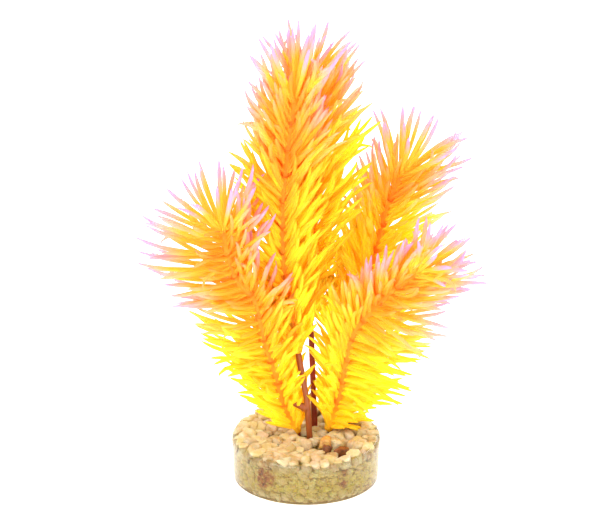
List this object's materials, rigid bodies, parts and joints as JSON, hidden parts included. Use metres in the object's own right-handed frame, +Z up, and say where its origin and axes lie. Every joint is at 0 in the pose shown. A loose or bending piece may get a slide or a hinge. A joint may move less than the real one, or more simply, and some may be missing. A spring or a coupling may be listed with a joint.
{
  "type": "artificial cabomba aquarium plant",
  "caption": "Soft plastic cabomba ornament: bushy upright plumes of fine needle leaves in yellow, orange and pink, rising from a round base of pebbles set in clear resin.",
  "frame": {"origin": "centre of the round base's flat underside", "axes": "+Z up along the plant's height; +Y away from the side the picture shows; +X to the right of that side"},
  "size_m": [0.1625, 0.1105, 0.2289],
  "materials": {
    "clear_resin": "clear, smooth cast resin",
    "cream_gravel": "cream and beige river pebbles, damp sheen",
    "amber_stone": "amber pebble",
    "brown_stone": "dark brown pebble",
    "tan_rod": "satin orange-brown plastic",
    "russet_rod": "satin dark red-brown plastic",
    "yellow_leaf": "soft translucent yellow plastic",
    "orange_leaf": "soft translucent orange plastic, pink towards the tips"
  },
  "bodies": {
    "root": {"resin_base": "clear_resin", "gravel_bed": "cream_gravel", "amber_pebble": "amber_stone", "small_brown_pebble": "brown_stone", "large_brown_pebble": "brown_stone", "front_rod": "tan_rod", "front_whorl_01": "yellow_leaf", "front_whorl_02": "yellow_leaf", "front_whorl_03": "yellow_leaf", "front_whorl_04": "yellow_leaf", "front_whorl_05": "yellow_leaf", "front_whorl_06": "orange_leaf", "front_whorl_07": "orange_leaf", "front_whorl_08": "orange_leaf", "front_whorl_09": "orange_leaf", "front_whorl_10": "orange_leaf", "left_rod": "tan_rod", "left_whorl_01": "yellow_leaf", "left_whorl_02": "yellow_leaf", "left_whorl_03": "yellow_leaf", "left_whorl_04": "yellow_leaf", "left_whorl_05": "yellow_leaf", "left_whorl_06": "orange_leaf", "left_whorl_07": "orange_leaf", "left_whorl_08": "orange_leaf", "left_whorl_09": "orange_leaf", "right_front_rod": "tan_rod", "right_front_whorl_01": "yellow_leaf", "right_front_whorl_02": "yellow_leaf", "right_front_whorl_03": "yellow_leaf", "right_front_whorl_04": "yellow_leaf", "right_front_whorl_05": "orange_leaf", "right_front_whorl_06": "orange_leaf", "right_front_whorl_07": "orange_leaf", "right_front_whorl_08": "orange_leaf", "rear_rod": "russet_rod", "rear_whorl_01": "yellow_leaf", "rear_whorl_02": "yellow_leaf", "rear_whorl_03": "yellow_leaf", "rear_whorl_04": "yellow_leaf", "rear_whorl_05": "yellow_leaf", "rear_whorl_06": "orange_leaf", "rear_whorl_07": "orange_leaf", "rear_whorl_08": "orange_leaf", "rear_whorl_09": "orange_leaf", "right_back_rod": "russet_rod", "right_back_whorl_01": "yellow_leaf", "right_back_whorl_02": "yellow_leaf", "right_back_whorl_03": "yellow_leaf", "right_back_whorl_04": "yellow_leaf", "right_back_whorl_05": "yellow_leaf", "right_back_whorl_06": "orange_leaf", "right_back_whorl_07": "orange_leaf", "right_back_whorl_08": "orange_leaf", "right_back_whorl_09": "orange_leaf"}
  },
  "joints": []
}
